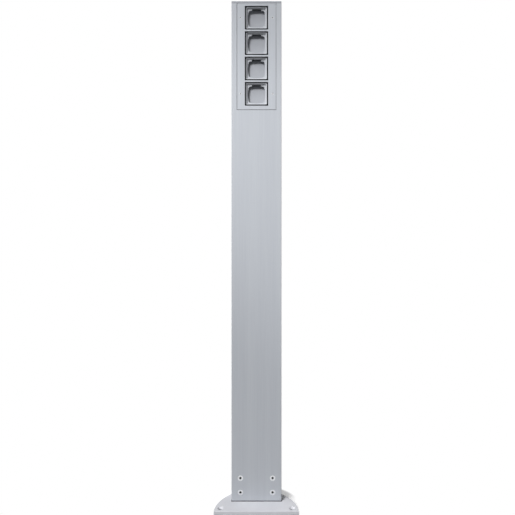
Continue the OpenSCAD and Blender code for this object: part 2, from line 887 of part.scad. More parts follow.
module earth_nuts() {
    color(steel) translate([0, 0, earth_z]) for (i = [0, 1])
        slab(rib_depth + washer_t + i * (washer_t + nut_t), nut_t) difference() {
            hexagon(earth_across);
            circle(earth_d / 2 + thread_gap);
        }
}

base_plate();
cable_grommet();
foot_bracket();
bracket_screws();
foot_gasket();
column_profile();
foot_screws();
cap_gasket();
top_cap();
cap_screws();
front_panel();
panel_screws();
panel_standoffs();
bezel_screws();
mounting_frame();
frame_screws();
box_screws();
terminal_rail();
rail_screws();
line_terminals();
earth_terminal();
end_stops();
terminal_screws();
earth_bolt();
earth_washers();
earth_nuts();
for (k = [1 : units]) {
    window_seal(k);
    bezel(k);
    device_box(k);
    blanking_disc(k);
    box_grommet(k);
}
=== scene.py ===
"""Garden socket post: the looks of every piece, the floor, the lamps and the camera.

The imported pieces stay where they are. What shows from a step away is modelled here piece by piece
and rides on the same body as the piece that it replaces. Sizes are in millimetres, and one
function turns them to Blender's metres.
"""

import json
import logging
import math
from dataclasses import dataclass, field
from enum import Enum
from typing import Callable, Sequence

import bmesh
import bpy
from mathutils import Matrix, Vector


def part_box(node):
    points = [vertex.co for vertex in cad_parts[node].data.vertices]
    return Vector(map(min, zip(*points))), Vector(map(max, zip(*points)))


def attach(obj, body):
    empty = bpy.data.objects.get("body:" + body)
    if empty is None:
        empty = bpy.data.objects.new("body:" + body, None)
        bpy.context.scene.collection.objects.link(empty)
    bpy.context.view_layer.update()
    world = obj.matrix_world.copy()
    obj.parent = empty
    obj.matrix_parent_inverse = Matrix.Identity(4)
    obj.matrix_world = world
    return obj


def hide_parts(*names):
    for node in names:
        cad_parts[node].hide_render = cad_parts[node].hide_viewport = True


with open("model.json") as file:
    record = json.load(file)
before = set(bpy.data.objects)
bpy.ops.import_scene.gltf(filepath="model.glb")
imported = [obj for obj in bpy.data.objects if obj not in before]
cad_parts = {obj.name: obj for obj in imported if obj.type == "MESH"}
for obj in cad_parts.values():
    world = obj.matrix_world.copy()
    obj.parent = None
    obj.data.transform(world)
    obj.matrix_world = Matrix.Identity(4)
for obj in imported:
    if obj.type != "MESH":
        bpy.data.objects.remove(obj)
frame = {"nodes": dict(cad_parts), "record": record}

logging.basicConfig(level=logging.INFO, format="%(message)s")
log = logging.getLogger("post")

MM = 0.001
PAST_MM = 1  # how far a cutting shape goes past the face that it cuts
NEAR = 0.01 * MM  # vertices this close to a plane count as lying on it
MERGE_MM = 0.002  # vertices closer than this become one
FLAT_DEGREES = 0.5  # faces that turn by less than this become one
STRAIGHT = 0.9  # a unit vector with this much along an axis counts as running along it
GRAIN_DETAIL, CLOUD_DETAIL = 3.0, 2.0
NOISE_LOW, NOISE_HIGH = 0.7, 1.3  # the sum of two noises stays mostly between these
# rays that the painted shade in hollows samples
HOLLOW_SHADE_SAMPLES = 8
PHOTO_PX = 515
SENSOR_MM = 36.0
UNITS = (1, 2, 3, 4)
HOLE_SIDES, SINK_SIDES, DISC_SIDES, ARC_SIDES = 24, 48, 128, 256
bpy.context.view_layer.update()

Point = Sequence[float]
Test = Callable[..., bool]
Piece = bpy.types.Object
Tree = bpy.types.NodeTree
Socket = bpy.types.NodeSocket
Value = Socket | float


class Body(Enum):
    """The two bodies that a piece can ride on."""

    POST = "post"
    PANEL = "service_panel"


class Cut(Enum):
    """What a second shape does to a piece."""

    REMOVE = "DIFFERENCE"
    JOIN = "UNION"
    KEEP_SHARED = "INTERSECT"


# Sizes and places


@dataclass(frozen=True)
class Box:
    """A box in millimetres, from its lowest to its highest corner."""

    low: Vector
    high: Vector

    @classmethod
    def of(cls, node: str) -> "Box":
        """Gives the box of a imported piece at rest.

        Args:
            node: The piece's name in the frame.

        Returns:
            Its box in millimetres.
        """
        low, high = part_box(node)
        return cls(low / MM, high / MM)

    @property
    def middle(self) -> Vector:
        """The middle of the box."""
        return (self.low + self.high) / 2

    @property
    def size(self) -> Vector:
        """The lengths of the box's sides."""
        return self.high - self.low


def unit_middle(k: int) -> Vector:
    """Gives the middle of a unit, from its disc."""
    return Box.of(f"blanking_disc_{k}").middle


def metres(point: Point) -> Vector:
    """Turns a point or a size from millimetres to metres."""
    return Vector(point) * MM


# Modelling steps


def pick(*pieces: Piece) -> None:
    """Selects these pieces alone and makes the first one active."""
    bpy.ops.object.select_all(action="DESELECT")
    for piece in pieces:
        piece.select_set(True)
    bpy.context.view_layer.objects.active = pieces[0]


def set_place(piece: Piece) -> Piece:
    """Moves a piece's place, turn and scale into its mesh, so that its object sits at the origin."""
    pick(piece)
    bpy.ops.object.transform_apply(location=True, rotation=True, scale=True)
    return piece


def add_block(name: str, low: Point, high: Point) -> Piece:
    """Adds a block between two corners.

    Args:
        name: The object's name.
        low: Lowest corner, in millimetres.
        high: Highest corner, in millimetres.

    Returns:
        The block.
    """
    low, high = Vector(low), Vector(high)
    bpy.ops.object.select_all(action="DESELECT")
    bpy.ops.mesh.primitive_cube_add(size=1, location=metres((low + high) / 2))
    block = bpy.context.active_object
    block.name = name
    block.scale = metres(high - low)
    return set_place(block)


def add_rod(
    name: str, start: Point, end: Point, radius: float, end_radius: float | None = None, sides: int = 64
) -> Piece:
    """Adds a round or many-sided bar, or a cone, along a line.

    Args:
        name: The object's name.
        start: Middle of the first end, in millimetres.
        end: Middle of the other end, in millimetres.
        radius: Radius at the start, in millimetres.
        end_radius: Radius at the end, which is the same one if it isn't given.
        sides: Number of sides.

    Returns:
        The bar.
    """
    start, end = Vector(start), Vector(end)
    along = end - start
    bpy.ops.object.select_all(action="DESELECT")
    bpy.ops.mesh.primitive_cone_add(
        vertices=sides,
        radius1=radius * MM,
        radius2=(radius if end_radius is None else end_radius) * MM,
        depth=along.length * MM,
        location=metres((start + end) / 2),
        rotation=along.to_track_quat("Z", "Y").to_euler(),
    )
    rod = bpy.context.active_object
    rod.name = name
    return set_place(rod)


def edit_selected(piece: Piece, kind: str, test: Test) -> None:
    """Opens a piece in edit mode with the vertices, edges or faces selected that pass a test.

    Args:
        piece: The piece to open.
        kind: VERT, EDGE or FACE.
        test: Says for one element, with places in metres, whether it is selected.
    """
    pick(piece)
    bpy.ops.object.mode_set(mode="EDIT")
    bpy.ops.mesh.select_mode(type=kind)
    bpy.ops.mesh.select_all(action="DESELECT")
    mesh = bmesh.from_edit_mesh(piece.data)
    for element in {"VERT": mesh.verts, "EDGE": mesh.edges, "FACE": mesh.faces}[kind]:
        if test(element):
            element.select_set(True)
    mesh.select_flush_mode()
    bmesh.update_edit_mesh(piece.data)


def close_edit() -> None:
    """Goes back to object mode."""
    bpy.ops.object.mode_set(mode="OBJECT")


def round_edges(piece: Piece, test: Test, radius: float, steps: int = 4) -> Piece:
    """Rounds the edges that pass a test.

    Args:
        piece: The piece to change.
        test: Says for one edge whether it is rounded.
        radius: Radius of the round, in millimetres.
        steps: Number of faces across the round.

    Returns:
        The same piece.
    """
    edit_selected(piece, "EDGE", test)
    bpy.ops.mesh.bevel(offset=radius * MM, segments=steps, affect="EDGES")
    close_edit()
    return piece


def runs_back(edge: bmesh.types.BMEdge) -> bool:
    """Says whether an edge runs straight from the front to the back."""
    along = (edge.verts[0].co - edge.verts[1].co).normalized()
    return abs(along.y) > STRAIGHT


def add_tile(name: str, low: Point, high: Point, radius: float, steps: int = 6) -> Piece:
    """Adds a block whose four corners are round as seen from the front."""
    return round_edges(add_block(name, low, high), runs_back, radius, steps)


def combine(piece: Piece, other: Piece, cut: Cut) -> Piece:
    """Cuts, joins or trims a piece with a second shape, which is used up.

    Args:
        piece: The piece to change.
        other: The shape that works on it.
        cut: What the shape does.

    Returns:
        The same piece.
    """
    step = piece.modifiers.new("shape", "BOOLEAN")
    step.operation = cut.value
    step.solver = "EXACT"
    step.object = other
    pick(piece)
    bpy.ops.object.modifier_apply(modifier=step.name)
    mesh = other.data
    bpy.data.objects.remove(other)
    bpy.data.meshes.remove(mesh)
    return piece


def join(pieces: Sequence[Piece]) -> Piece:
    """Joins separate shapes to the first one without merging them."""
    pick(*pieces)
    bpy.ops.object.join()
    return pieces[0]


def copy_to(piece: Piece, shift: Point, name: str) -> Piece:
    """Copies a piece with a mesh of its own.

    Args:
        piece: What is copied.
        shift: How far the copy is moved, in millimetres.
        name: The copy's name.

    Returns:
        The copy.
    """
    copy = piece.copy()
    copy.data = piece.data.copy()
    copy.name = name
    bpy.context.scene.collection.objects.link(copy)
    copy.location = metres(shift)
    return set_place(copy)


def break_edges(piece: Piece, width: float, steps: int = 2, angle: float = 32) -> Piece:
    """Takes the sharpness off all edges of a finished shape, as a deburring wheel does.

    Args:
        piece: The shape.
        width: Width of the broken edge, in millimetres.
        steps: Number of faces across it.
        angle: Edges that turn by less than this many degrees stay as they are.

    Returns:
        The same piece, smooth where it is round and flat where it is flat.
    """
    step = piece.modifiers.new("edge", "BEVEL")
    step.width = width * MM
    step.segments = steps
    step.limit_method = "ANGLE"
    step.angle_limit = math.radians(angle)
    step.use_clamp_overlap = False
    pick(piece)
    bpy.ops.object.modifier_apply(modifier=step.name)
    return shade(piece)


def shade(piece: Piece, angle: float = 40) -> Piece:
    """Shades round stretches smooth and keeps wide faces flat."""
    pick(piece)
    bpy.ops.object.shade_smooth_by_angle(angle=math.radians(angle))
    step = piece.modifiers.new("normals", "WEIGHTED_NORMAL")
    step.keep_sharp = True
    bpy.ops.object.modifier_apply(modifier=step.name)
    return piece


def copy_node(node: str, name: str) -> Piece:
    """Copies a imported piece, with its loose triangles merged into clean faces.

    Args:
        node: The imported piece.
        name: The copy's name.

    Returns:
        The copy, ready to be shaped.
    """
    source = frame["nodes"][node]
    piece = bpy.data.objects.new(name, source.data.copy())
    bpy.context.scene.collection.objects.link(piece)
    piece.data.materials.clear()
    if "custom_normal" in piece.data.attributes:
        piece.data.attributes.remove(piece.data.attributes["custom_normal"])
    edit_selected(piece, "VERT", lambda vertex: True)
    bpy.ops.mesh.remove_doubles(threshold=MERGE_MM * MM)
    bpy.ops.mesh.dissolve_limited(angle_limit=math.radians(FLAT_DEGREES))
    close_edit()
    return piece


# Finishes


def linear(code: str) -> tuple[float, float, float, float]:
    """Turns an sRGB hex colour to linear values.

    Args:
        code: Six hex digits.

    Returns:
        Red, green, blue and an alpha of 1.
    """
    parts = [int(code[i : i + 2], 16) / 255 for i in (0, 2, 4)]
    red, green, blue = (p / 12.92 if p <= 0.04045 else ((p + 0.055) / 1.055) ** 2.4 for p in parts)
    return red, green, blue, 1.0


def add_node(tree: Tree, kind: str, inputs: dict | None = None, **settings) -> bpy.types.Node:
    """Adds one shader node.

    Args:
        tree: Where it goes.
        kind: Its Blender type.
        inputs: A value or another node's output for each input, by its name or number.
        **settings: The node's own settings.

    Returns:
        The node.
    """
    node = tree.nodes.new(kind)
    for name, value in settings.items():
        setattr(node, name, value)
    for name, value in (inputs or {}).items():
        if isinstance(value, Socket):
            tree.links.new(value, node.inputs[name])
        else:
            node.inputs[name].default_value = value
    return node


def per_metre(size_mm: float) -> float:
    """Gives a pattern's scale from the size of one grain or line in millimetres."""
    return 1 / (size_mm * MM)


def add_noise(tree: Tree, place: Socket, size_mm: float, detail: float) -> Socket:
    """Adds noise with grains of this size, and gives its value."""
    inputs = {"Vector": place, "Scale": per_metre(size_mm), "Detail": detail}
    return add_node(tree, "ShaderNodeTexNoise", inputs).outputs[0]


def add_math(tree: Tree, operation: str, first: Socket, second: Value) -> Socket:
    """Adds a calculation with two values, and gives its result."""
    return add_node(tree, "ShaderNodeMath", {0: first, 1: second}, operation=operation).outputs[0]


def add_mix(tree: Tree, share: Socket, first: Socket | Point, second: Socket | Point) -> Socket:
    """Adds a blend of two colours: the first one at a share of 0, the second one at 1."""
    inputs = {"Factor": share, 6: first, 7: second}
    return add_node(tree, "ShaderNodeMix", inputs, data_type="RGBA").outputs[2]


def add_range(
    tree: Tree, value: Socket, low: Value, high: Value, start: float = 0.0, end: float = 1.0, **settings
) -> Socket:
    """Adds a node that takes a value from one range to another.

    Args:
        tree: Where it goes.
        value: The value.
        low: What the start becomes.
        high: What the end becomes.
        start: Start of the value's own range.
        end: End of the value's own range.
        **settings: The node's own settings.

    Returns:
        The new value.
    """
    inputs = {"Value": value, "From Min": start, "From Max": end, "To Min": low, "To Max": high}
    return add_node(tree, "ShaderNodeMapRange", inputs, **settings).outputs[0]


@dataclass(frozen=True)
class Finish:
    """A surface with a fine grain: a colour that wanders a little, over a shallow relief, with painted shade
    in its hollows where a shade colour is given.

    The grain is noise on Object coordinates, so it stays in place on every piece.
    """

    name: str
    colour: str
    tint: str
    roughness: float
    metallic: float = 0.0
    specular: float = 0.5
    grain_mm: float = 0.8
    relief: float = 0.1
    relief_mm: float = 0.05
    stretch: tuple[float, float, float] = (1.0, 1.0, 1.0)
    cloud_mm: float = 40.0
    roughness_swing: float = 0.08
    # painted shade: a dark colour laid in narrow hollows, by how much of the sky they see within crevice_mm
    painted_shade: str = ""
    crevice_mm: float = 3.0
    shaded_below: float = 0.6
    unshaded_above: float = 0.92

    def build(self) -> bpy.types.Material:
        """Makes the material.

        Returns:
            The new material.
        """
        material = bpy.data.materials.new(self.name)
        material.use_nodes = True
        tree = material.node_tree
        tree.nodes.clear()
        place = add_node(tree, "ShaderNodeTexCoord").outputs["Object"]
        stretched = add_node(tree, "ShaderNodeMapping", {"Vector": place, "Scale": self.stretch}).outputs[0]
        grain = add_noise(tree, stretched, self.grain_mm, GRAIN_DETAIL)
        cloud = add_noise(tree, stretched, self.cloud_mm, CLOUD_DETAIL)
        colour = self.mix_colour(tree, place, cloud, grain)
        # painted shade: darkens the colour in narrow hollows
        if self.painted_shade:
            colour = self.paint_hollow_shade(tree, colour)
        swing = self.roughness_swing
        rough = add_range(tree, grain, self.roughness - swing, self.roughness + swing)
        bump = add_node(
            tree,
            "ShaderNodeBump",
            {"Height": grain, "Strength": self.relief, "Distance": self.relief_mm * MM},
        ).outputs[0]
        shader = add_node(
            tree,
            "ShaderNodeBsdfPrincipled",
            {
                "Base Color": colour,
                "Roughness": rough,
                "Metallic": self.metallic,
                "Specular IOR Level": self.specular,
                "Normal": bump,
            },
        ).outputs[0]
        add_node(tree, "ShaderNodeOutputMaterial", {"Surface": shader})
        return material

    def paint_hollow_shade(self, tree: Tree, colour: Socket) -> Socket:
        """Paints shade into narrow hollows, such as a screw's socket, darker where less of the sky is open.

        Args:
            tree: The material's nodes.
            colour: The colour without the painted shade.

        Returns:
            The colour with its painted shade.
        """
        reach = {"Distance": self.crevice_mm * MM}
        open_sky = add_node(tree, "ShaderNodeAmbientOcclusion", reach, samples=HOLLOW_SHADE_SAMPLES).outputs["AO"]
        unshaded = add_range(tree, open_sky, 0.0, 1.0, self.shaded_below, self.unshaded_above)
        return add_mix(tree, unshaded, linear(self.painted_shade), colour)

    def mix_colour(self, tree: Tree, place: Socket, cloud: Socket, grain: Socket) -> Socket:
        """Blends the colour with its tint, in wide clouds and in the grain.

        Args:
            tree: The material's nodes.
            place: Object coordinates, which this plain blend does not use.
            cloud: The wide noise.
            grain: The fine noise.

        Returns:
            The colour to use.
        """
        both = add_math(tree, "ADD", cloud, grain)
        share = add_range(tree, both, 0.0, 1.0, NOISE_LOW, NOISE_HIGH)
        return add_mix(tree, share, linear(self.colour), linear(self.tint))


@dataclass(frozen=True)
class StripedFinish(Finish):
    """Moulded plastic in two colours, in slanting stripes, as an earth terminal has."""

    stripe_colour: str = "E3D21F"
    stripe_mm: float = 5.0
    stripe_above: float = 0.5

    def mix_colour(self, tree: Tree, place: Socket, cloud: Socket, grain: Socket) -> Socket:
        """Lays the stripes over the plain blend.

        Args:
            tree: The material's nodes.
            place: Object coordinates.
            cloud: The wide noise.
            grain: The fine noise.

        Returns:
            The colour to use.
        """
        plain = super().mix_colour(tree, place, cloud, grain)
        wave = add_node(
            tree,
            "ShaderNodeTexWave",
            {"Vector": place, "Scale": per_metre(self.stripe_mm) / math.tau},
            bands_direction="DIAGONAL",
        ).outputs[1]
        edge = add_math(tree, "GREATER_THAN", wave, self.stripe_above)
        return add_mix(tree, edge, plain, linear(self.stripe_colour))


# Anodised aluminium: fine lines under a matt oxide skin, along the column and across the cap. The
# real lines are about 0.1 mm apart, and are drawn wider apart so that they show. Painted shade
# darkens the seams and other narrow hollows of the column and the panel.
COLUMN = Finish(
    "anodised_extrusion", "B9BDC3", "B3B7BE", roughness=0.6, metallic=0.15, grain_mm=1.5, relief=0.08,
    relief_mm=0.03, stretch=(1.0, 1.0, 0.012), cloud_mm=16, roughness_swing=0.04, painted_shade="2E3034",
    crevice_mm=2.5,
)
CAP = Finish(
    "anodised_plate", "AEB2B8", "A8ACB3", roughness=0.6, metallic=0.15, grain_mm=1.2, relief=0.08,
    relief_mm=0.03, stretch=(0.02, 1.0, 1.0), cloud_mm=20, roughness_swing=0.04,
)
# Powder coat: a thick, slightly uneven skin with the fine orange peel of baked powder.
PLATE = Finish(
    "powder_coat", "D2D3D8", "CBCCD2", roughness=0.5, grain_mm=1.6, relief=0.12, relief_mm=0.06, cloud_mm=30,
)
# Mill finish: bare rolled aluminium with streaks from the rolls.
BRACKET = Finish(
    "mill_aluminium", "A9ABAF", "95989D", roughness=0.36, metallic=1.0, grain_mm=0.9, relief=0.12,
    relief_mm=0.03, stretch=(1.0, 1.0, 0.06), cloud_mm=14,
)
# Turned stainless steel: bright, with a faint grain from the cutter, and painted shade in the sockets.
STAINLESS = Finish(
    "turned_stainless", "E0E2E5", "D6D8DC", roughness=0.35, metallic=0.6, grain_mm=0.5, relief=0.1,
    relief_mm=0.02, cloud_mm=4, painted_shade="141517", crevice_mm=5,
)
# Zinc plate: thin bluish plating that is dull in clouds.
ZINC = Finish(
    "zinc_plate", "AEB2B6", "8F979F", roughness=0.38, metallic=0.9, grain_mm=1.4, relief=0.1, relief_mm=0.02,
    cloud_mm=12, roughness_swing=0.12,
)
# Nickelled brass: warm metal under a thin pale plating.
BRASS = Finish(
    "nickelled_brass", "CDB983", "BFA566", roughness=0.28, metallic=1.0, grain_mm=0.6, relief=0.08,
    relief_mm=0.02, cloud_mm=5,
)
# Painted ABS: a satin lacquer in silver grey, as smooth as the moulding under it.
BEZEL = Finish(
    "lacquered_abs", "C2C5CA", "BBBEC4", roughness=0.45, specular=0.35, grain_mm=0.6, relief=0.1,
    relief_mm=0.02, cloud_mm=10,
)
# Moulded plastics: the fine grain that spark erosion leaves in a mould.
BOX = Finish(
    "grained_polyamide", "8D8F95", "84868C", roughness=0.55, specular=0.35, grain_mm=0.7, relief=0.25,
    relief_mm=0.06, cloud_mm=18,
)
DISC = Finish(
    "satin_polypropylene", "B3B6BC", "ACAFB6", roughness=0.5, specular=0.35, grain_mm=0.9, relief=0.12,
    relief_mm=0.03, cloud_mm=14,
)
TERMINAL = Finish(
    "terminal_polyamide", "A3A3A1", "9A9A98", roughness=0.48, grain_mm=0.6, relief=0.15, relief_mm=0.04,
    cloud_mm=10,
)
EARTH = StripedFinish(
    "earth_polyamide", "5A8F2E", "528529", roughness=0.48, grain_mm=0.6, relief=0.15, relief_mm=0.04,
    cloud_mm=10,
)
# Rubber: matt black with a dusty bloom.
RUBBER = Finish(
    "moulded_rubber", "1B1B1E", "26262A", roughness=0.8, specular=0.15, grain_mm=0.5, relief=0.3,
    relief_mm=0.05, cloud_mm=8,
)

FINISHES = {
    "column_aluminium": COLUMN,
    "cap_aluminium": CAP,
    "plate_aluminium": PLATE,
    "bracket_aluminium": BRACKET,
    "stainless_steel": STAINLESS,
    "zinc_steel": ZINC,
    "brass_plated": BRASS,
    "bezel_plastic": BEZEL,
    "box_plastic": BOX,
    "disc_plastic": DISC,
    "terminal_plastic": TERMINAL,
    "earth_plastic": EARTH,
    "rubber": RUBBER,
}


@dataclass
class PaintShop:
    """Makes each finish once and puts it on pieces."""

    made: dict[str, bpy.types.Material] = field(default_factory=dict)

    def material(self, slot: str) -> bpy.types.Material:
        """Gives a slot's material, made on first use."""
        if slot not in self.made:
            self.made[slot] = FINISHES[slot].build()
        return self.made[slot]

    def dress(self, piece: Piece, slot: str) -> None:
        """Gives a piece the finish of a slot.

        Args:
            piece: The piece.
            slot: The material slot's name.
        """
        piece.data.materials.clear()
        piece.data.materials.append(self.material(slot))

    def repaint_nodes(self) -> None:
        """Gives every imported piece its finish, also those that a modelled piece replaces."""
        for part in frame["record"]["subparts"]:
            node = frame["nodes"][part["node"]]
            for node_slot in node.material_slots:
                node_slot.material = self.material(part["material_slot"])


@dataclass(frozen=True)
class SunkScrew:
    """A countersunk screw with a hexagon socket."""

    head_r: float
    shank_r: float
    length: float
    key_across: float
    key_depth: float
    edge: float

    def build(self, top: Point, along: Point, name: str) -> Piece:
        """Models the screw.

        Args:
            top: Middle of the head's face, in millimetres.
            along: Unit vector from the head to the tip.
            name: The object's name.

        Returns:
            The screw.
        """
        top, along = Vector(top), Vector(along)
        cone_l = self.head_r - self.shank_r
        screw = add_rod(name, top, top + along * cone_l, self.head_r, self.shank_r)
        neck = top + along * (cone_l / 2)
        shank = add_rod("shank", neck, top + along * self.length, self.shank_r)
        combine(screw, shank, Cut.JOIN)
        mouth = top - along * self.key_depth
        socket_r = self.key_across / math.sqrt(3)
        socket = add_rod("socket", mouth, top + along * self.key_depth, socket_r, sides=6)
        combine(screw, socket, Cut.REMOVE)
        return break_edges(screw, self.edge)


FOOT_SCREW = SunkScrew(head_r=8.0, shank_r=4.0, length=12, key_across=6.2, key_depth=5.0, edge=0.2)
CAP_SCREW = SunkScrew(head_r=5.0, shank_r=2.45, length=20, key_across=3.0, key_depth=3.0, edge=0.15)
PANEL_SCREW = SunkScrew(head_r=3.0, shank_r=1.5, length=9, key_across=3.0, key_depth=2.5, edge=0.2)


@dataclass
class SubAssembly:
    """Pieces that belong together and ride on one body."""

    shop: PaintShop
    body: Body

    def fit(self, piece: Piece, slot: str, *nodes: str) -> None:
        """Finishes a modelled piece: dresses it, lets it ride and hides what it replaces.

        Args:
            piece: The modelled piece.
            slot: Its material slot.
            *nodes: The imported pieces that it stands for.
        """
        self.shop.dress(piece, slot)
        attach(piece, self.body.value)
        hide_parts(*nodes)
        faces = len(piece.data.polygons)
        log.info("%s: %d faces, %s, replaces %s", piece.name, faces, slot, ", ".join(nodes))

    def refine(self, node: str, slot: str, edge: float) -> None:
        """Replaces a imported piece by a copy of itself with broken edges.

        Args:
            node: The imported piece.
            slot: Its material slot.
            edge: Width of the broken edges, in millimetres.
        """
        self.fit(break_edges(copy_node(node, node + "_part"), edge), slot, node)

    def fit_screws(self, node: str, screw: SunkScrew, places: Sequence[Point], along: Point) -> None:
        """Models one screw, copies it to the other places and fits them all as one piece.

        Args:
            node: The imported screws.
            screw: Their kind.
            places: Middle of each head's face, in millimetres.
            along: Unit vector from the heads to the tips.
        """
        start = Vector(places[0])
        first = screw.build(start, along, node + "_part")
        copies = [copy_to(first, Vector(place) - start, node + "_copy") for place in places[1:]]
        self.fit(join([first, *copies]), "stainless_steel", node)

    def fit_row(self, first: Piece, slot: str, name: str) -> None:
        """Copies the top unit's piece to the units below it and fits all four.

        Args:
            first: The top unit's piece.
            slot: Their material slot.
            name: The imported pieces' name, without the unit's number.
        """
        for k in UNITS[1:]:
            copy = copy_to(first, unit_middle(k) - unit_middle(1), f"{name}_part_{k}")
            self.fit(copy, slot, f"{name}_{k}")
        self.fit(first, slot, f"{name}_1")


@dataclass
class Foot(SubAssembly):
    """The base plate and what fastens the column to it."""

    edge_round: float = 1.5
    edge_steps: int = 3
    under_edge: float = 0.8
    hole_edge: float = 0.2
    gasket_swell: float = 1.1
    gasket_edge: float = 0.2
    grommet_edge: float = 0.3
    arc_sides: int = 240
    anchor_r: float = 4.5
    anchor_sink_r: float = 8.5
    anchor_edge: float = 15
    anchor_x: float = 97.5
    anchor_gap: float = 1
    cable_r: float = 11
    bracket_edge: float = 0.4
    bracket_screw_r: float = 3.1
    bracket_sink_r: float = 6.1
    bracket_sink_gap: float = 0.1
    bracket_screw_step: float = 14
    screw: SunkScrew = FOOT_SCREW

    def build(self) -> None:
        """Models the foot from the ground up."""
        self.base_plate()
        self.foot_screws()
        self.refine("foot_bracket", "bracket_aluminium", self.bracket_edge)
        self.foot_gasket()
        self.refine("cable_grommet", "rubber", self.grommet_edge)

    def base_plate(self) -> None:
        """Models the half disc: a round plate cut through its middle, with its edges rounded and its
        holes drilled."""
        box = Box.of("base_plate")
        middle_y, top = box.low.y, box.high.z
        under, over = (0, middle_y, 0), (0, middle_y, top)
        plate = add_rod("base_plate_part", under, over, box.high.x, sides=self.arc_sides)
        edit_selected(plate, "FACE", lambda face: True)
        bpy.ops.mesh.bisect(
            plane_co=metres((0, middle_y, 0)), plane_no=(0, -1, 0), use_fill=True, clear_outer=True
        )
        close_edit()
        round_edges(
            plate,
            lambda edge: all(abs(v.co.z - top * MM) < NEAR for v in edge.verts),
            self.edge_round,
            self.edge_steps,
        )
        round_edges(plate, lambda edge: all(abs(v.co.z) < NEAR for v in edge.verts), self.under_edge, 1)
        front_y = middle_y + self.anchor_edge
        anchors = [(-self.anchor_x, front_y), (self.anchor_x, front_y), (0, self.rear_anchor_y())]
        for x, y in anchors:
            self.drill(plate, x, y, top, self.anchor_r, self.anchor_sink_r)
        grommet = Box.of("cable_grommet")
        self.drill(plate, 0, grommet.middle.y, top, self.cable_r)
        for x, y in self.bracket_screws():
            self.drill(plate, x, y, 0, self.bracket_screw_r, self.bracket_sink_r)
        self.fit(break_edges(plate, self.hole_edge), "plate_aluminium", "base_plate")

    def foot_gasket(self) -> None:
        """Lets the rubber ring swell out from under the column, as the screws squeeze it. Its dark lip is
        made wide so that it also stands in for the shade where the column meets the plate.
        """
        box = Box.of("foot_gasket")
        ring = copy_node("foot_gasket", "foot_gasket_part")
        edit_selected(ring, "FACE", lambda face: True)
        wide = [1 + 2 * self.gasket_swell / size for size in box.size[:2]]
        bpy.ops.transform.resize(value=(*wide, 1), center_override=metres(box.middle))
        close_edit()
        self.fit(break_edges(ring, self.gasket_edge), "rubber", "foot_gasket")

    def rear_anchor_y(self) -> float:
        """Gives the place of the anchor hole inside the column, next to the cable grommet."""
        grommet = Box.of("cable_grommet")
        return grommet.high.y + self.anchor_gap + self.anchor_sink_r

    def bracket_screws(self) -> list[tuple[float, float]]:
        """Gives the places of the four screws under the plate, from their packed box."""
        box = Box.of("bracket_screws")
        head_r = self.bracket_sink_r - self.bracket_sink_gap
        outer_x = box.high.x - head_r
        near_y, far_y = box.low.y + head_r, box.high.y - head_r
        inner_x = outer_x - self.bracket_screw_step
        return [(s * x, y) for s in (-1, 1) for x, y in ((outer_x, near_y), (inner_x, far_y))]

    def drill(
        self, plate: Piece, x: float, y: float, face_z: float, r: float, sink_r: float = 0
    ) -> None:
        """Drills a hole through the plate and countersinks it.

        Args:
            plate: The plate.
            x: Place of the hole.
            y: Place of the hole.
            face_z: Height of the face that is countersunk.
            r: Radius of the hole.
            sink_r: Radius of the countersink, or 0 for a plain hole.
        """
        thickness = Box.of("base_plate").high.z
        combine(plate, add_rod("drill", (x, y, -PAST_MM), (x, y, thickness + PAST_MM), r), Cut.REMOVE)
        if sink_r:
            depth = sink_r - r
            way = 1 if face_z > 0 else -1
            mouth, bottom = (x, y, face_z + way * PAST_MM), (x, y, face_z - way * depth)
            combine(plate, add_rod("sink", mouth, bottom, sink_r + PAST_MM, r), Cut.REMOVE)

    def foot_screws(self) -> None:
        """Puts a screw at each of the four corners of the bracket."""
        box, r = Box.of("foot_screws"), self.screw.head_r
        xs, zs = (box.low.x + r, box.high.x - r), (box.low.z + r, box.high.z - r)
        places = [(x, box.low.y, z) for x in xs for z in zs]
        self.fit_screws("foot_screws", self.screw, places, (0, 1, 0))


@dataclass
class Column(SubAssembly):
    """The extruded column and its cap."""

    seam_edge: float = 0.45
    cap_round: float = 0.8
    cap_steps: int = 4
    cap_edge: float = 0.2
    gasket_edge: float = 0.1
    rear_screw_x: float = 45
    screw: SunkScrew = CAP_SCREW

    def build(self) -> None:
        """Models the column, then the cap with its ring and screws."""
        self.refine("column_profile", "column_aluminium", self.seam_edge)
        self.top_cap()
        self.cap_screws()
        self.refine("cap_gasket", "rubber", self.gasket_edge)

    def top_cap(self) -> None:
        """Rounds the cap's upper edge all round, and breaks its other edges."""
        cap = copy_node("top_cap", "top_cap_part")
        top = Box.of("top_cap").high.z * MM

        def outer_top(edge: bmesh.types.BMEdge) -> bool:
            level = all(abs(v.co.z - top) < NEAR for v in edge.verts)
            return level and any(abs(face.normal.z) < 1 - STRAIGHT for face in edge.link_faces)

        round_edges(cap, outer_top, self.cap_round, self.cap_steps)
        self.fit(break_edges(cap, self.cap_edge), "cap_aluminium", "top_cap")

    def cap_screws(self) -> None:
        """Puts a screw over each of the column's four screw channels."""
        box, r = Box.of("cap_screws"), self.screw.head_r
        front, rear = (box.high.x - r, box.low.y + r), (self.rear_screw_x, box.high.y - r)
        places = [(s * x, y, box.high.z) for x, y in (front, rear) for s in (1, -1)]
        self.fit_screws("cap_screws", self.screw, places, (0, 0, -1))


